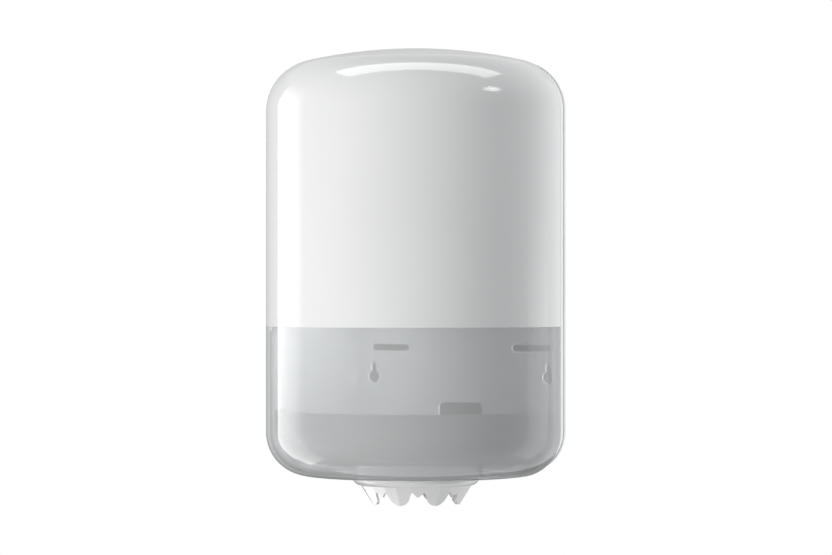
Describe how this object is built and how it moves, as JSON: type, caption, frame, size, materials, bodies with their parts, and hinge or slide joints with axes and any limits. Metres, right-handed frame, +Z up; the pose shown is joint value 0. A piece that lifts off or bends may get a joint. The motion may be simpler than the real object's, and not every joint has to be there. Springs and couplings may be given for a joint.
{
  "type": "centrefeed roll dispenser",
  "caption": "Wall dispenser for a centre-pull paper roll: rounded white cover with a smoky lower window that folds down, inner roll tray and toothed nozzle below.",
  "frame": {"origin": "on the wall plane at the centre of the four screw keyholes, which is mid height of the casing", "axes": "+Y into the wall, so the front faces -Y; +Z up; +X to the right of someone facing the wall"},
  "size_m": [0.236, 0.226, 0.3572],
  "materials": {
    "cover_white": "polished moulded plastic",
    "window_smoke": "polished translucent smoky plastic",
    "shell_white": "satin moulded plastic",
    "tray_grey": "satin moulded plastic",
    "nozzle_white": "satin moulded plastic",
    "guide_grey": "matte moulded plastic",
    "lock_grey": "matte moulded plastic",
    "button_grey": "matte moulded plastic",
    "screw_steel": "zinc plated",
    "spring_steel": "drawn wire"
  },
  "bodies": {
    "back": {"back_shell": "shell_white", "roll_tray": "tray_grey", "tray_screws": "screw_steel", "nozzle_collar": "nozzle_white", "nozzle_petals": "nozzle_white", "nozzle_lock_ring": "nozzle_white", "paper_guide": "guide_grey", "hinge_pin_right": "screw_steel", "hinge_pin_left": "screw_steel", "lock_housing": "lock_grey", "lock_base": "lock_grey", "lock_spring": "spring_steel", "lock_screws": "screw_steel"},
    "cover": {"cover_upper": "cover_white", "cover_window": "window_smoke", "cover_catch": "lock_grey", "catch_screws": "screw_steel"},
    "lock": {"lock_button": "button_grey", "latch_hook": "button_grey"}
  },
  "joints": [
    {"name": "cover_hinge", "type": "hinge", "parent": "back", "child": "cover", "pos_m": [0, -0.104, -0.1608], "axis": [1, 0, 0], "range_deg": [0, 90]},
    {"name": "lock_press", "type": "slide", "parent": "back", "child": "lock", "axis": [0, 0, -1], "range_m": [0, 0.005], "stiffness_N_per_m": 600, "springref_m": -0.004, "deforming": ["lock_spring"]}
  ]
}
